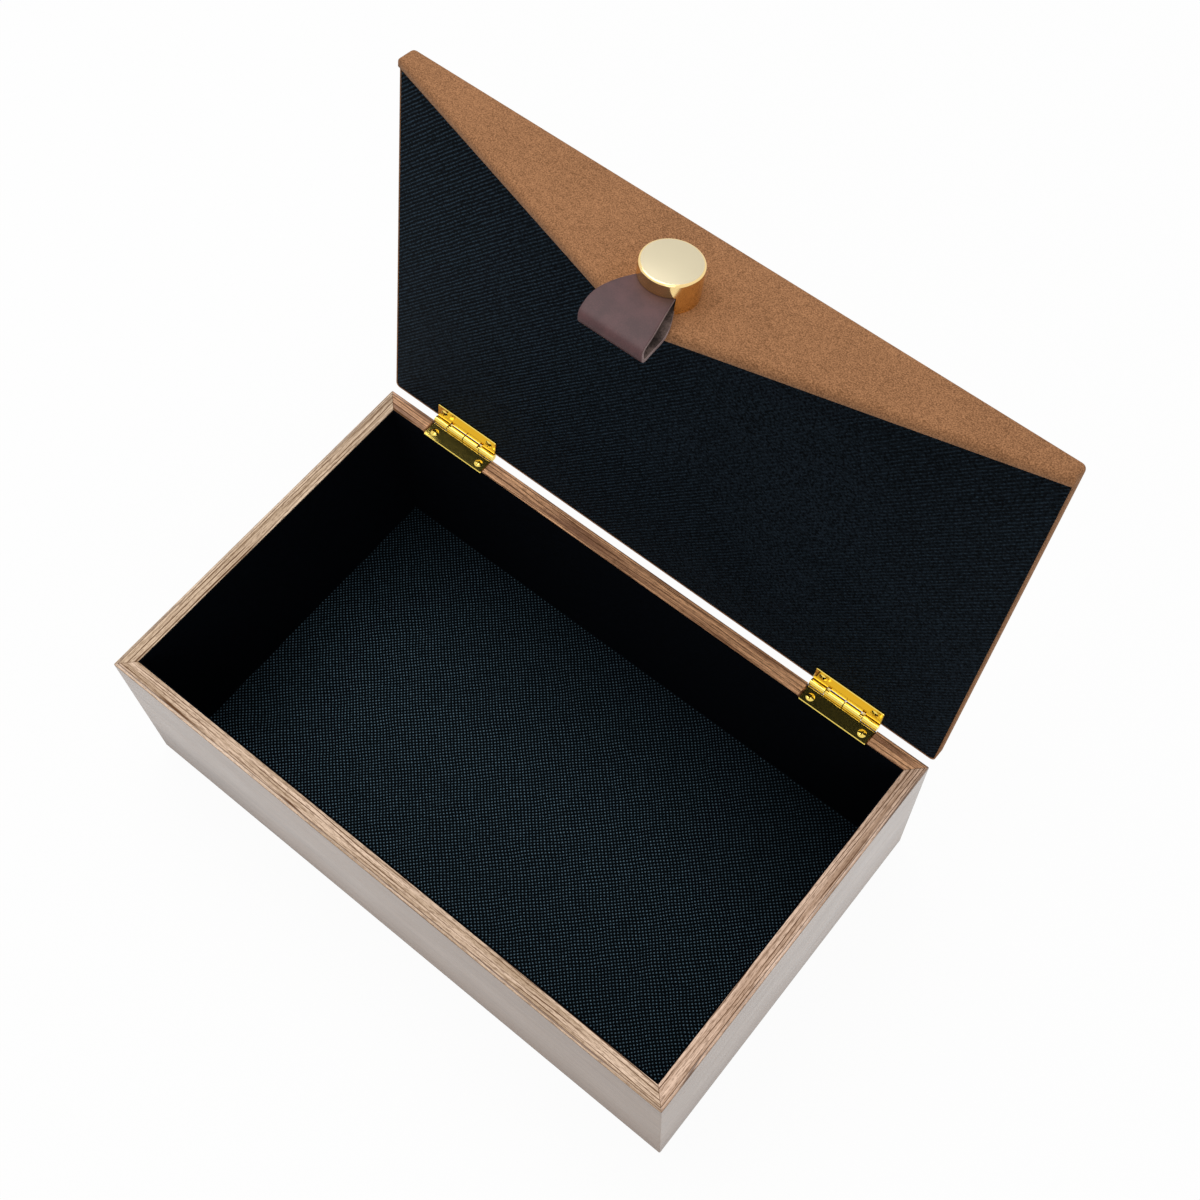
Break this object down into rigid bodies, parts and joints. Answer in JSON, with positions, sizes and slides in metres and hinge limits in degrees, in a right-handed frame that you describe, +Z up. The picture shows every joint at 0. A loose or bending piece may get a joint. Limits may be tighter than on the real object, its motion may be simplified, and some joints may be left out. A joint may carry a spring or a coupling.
{
  "type": "storage box",
  "caption": "Hinged wooden storage box with dark fabric lining and a suede-covered lid whose triangular flap carries a round knob and a leather pull tab.",
  "frame": {"origin": "centre of the box's underside", "axes": "+X along the length, +Y back to the hinges, +Z up; the lid stands open as pictured"},
  "size_m": [0.26, 0.1955, 0.2551],
  "materials": {
    "walnut_board": "fine grain, satin lacquer",
    "pale_veneer": "satin lacquer, faint grain",
    "black_felt": "short matt nap",
    "dotted_fabric": "fine dotted weave",
    "fibreboard": "smooth pressed board",
    "polished_brass": "polished",
    "camel_suede": "napped suede",
    "black_twill": "diagonal twill",
    "champagne_gold": "satin plated",
    "steel": "plain zinc",
    "brown_leather": "smooth, fine grain"
  },
  "bodies": {
    "box": {"front_wall": "walnut_board", "front_facing": "pale_veneer", "front_lining": "black_felt", "back_wall": "walnut_board", "back_facing": "pale_veneer", "back_lining": "black_felt", "left_wall": "walnut_board", "left_facing": "pale_veneer", "left_lining": "black_felt", "right_wall": "walnut_board", "right_facing": "pale_veneer", "right_lining": "black_felt", "base_panel": "fibreboard", "floor_lining": "dotted_fabric", "left_hinge_box_leaf": "polished_brass", "left_hinge_pin": "polished_brass", "left_hinge_box_screws": "polished_brass", "right_hinge_box_leaf": "polished_brass", "right_hinge_pin": "polished_brass", "right_hinge_box_screws": "polished_brass"},
    "lid": {"left_hinge_lid_leaf": "polished_brass", "left_hinge_lid_screws": "polished_brass", "right_hinge_lid_leaf": "polished_brass", "right_hinge_lid_screws": "polished_brass", "lid_board": "fibreboard", "lid_cover": "camel_suede", "lid_lining": "black_twill", "flap_board": "fibreboard", "flap_lining": "black_twill", "knob": "champagne_gold", "knob_screw": "steel", "pull_tab": "brown_leather"}
  },
  "joints": [
    {"name": "lid_hinge", "type": "hinge", "parent": "box", "child": "lid", "pos_m": [0, 0.0784, 0.0801], "axis": [1, 0, 0], "range_deg": [0, 101.5]}
  ]
}
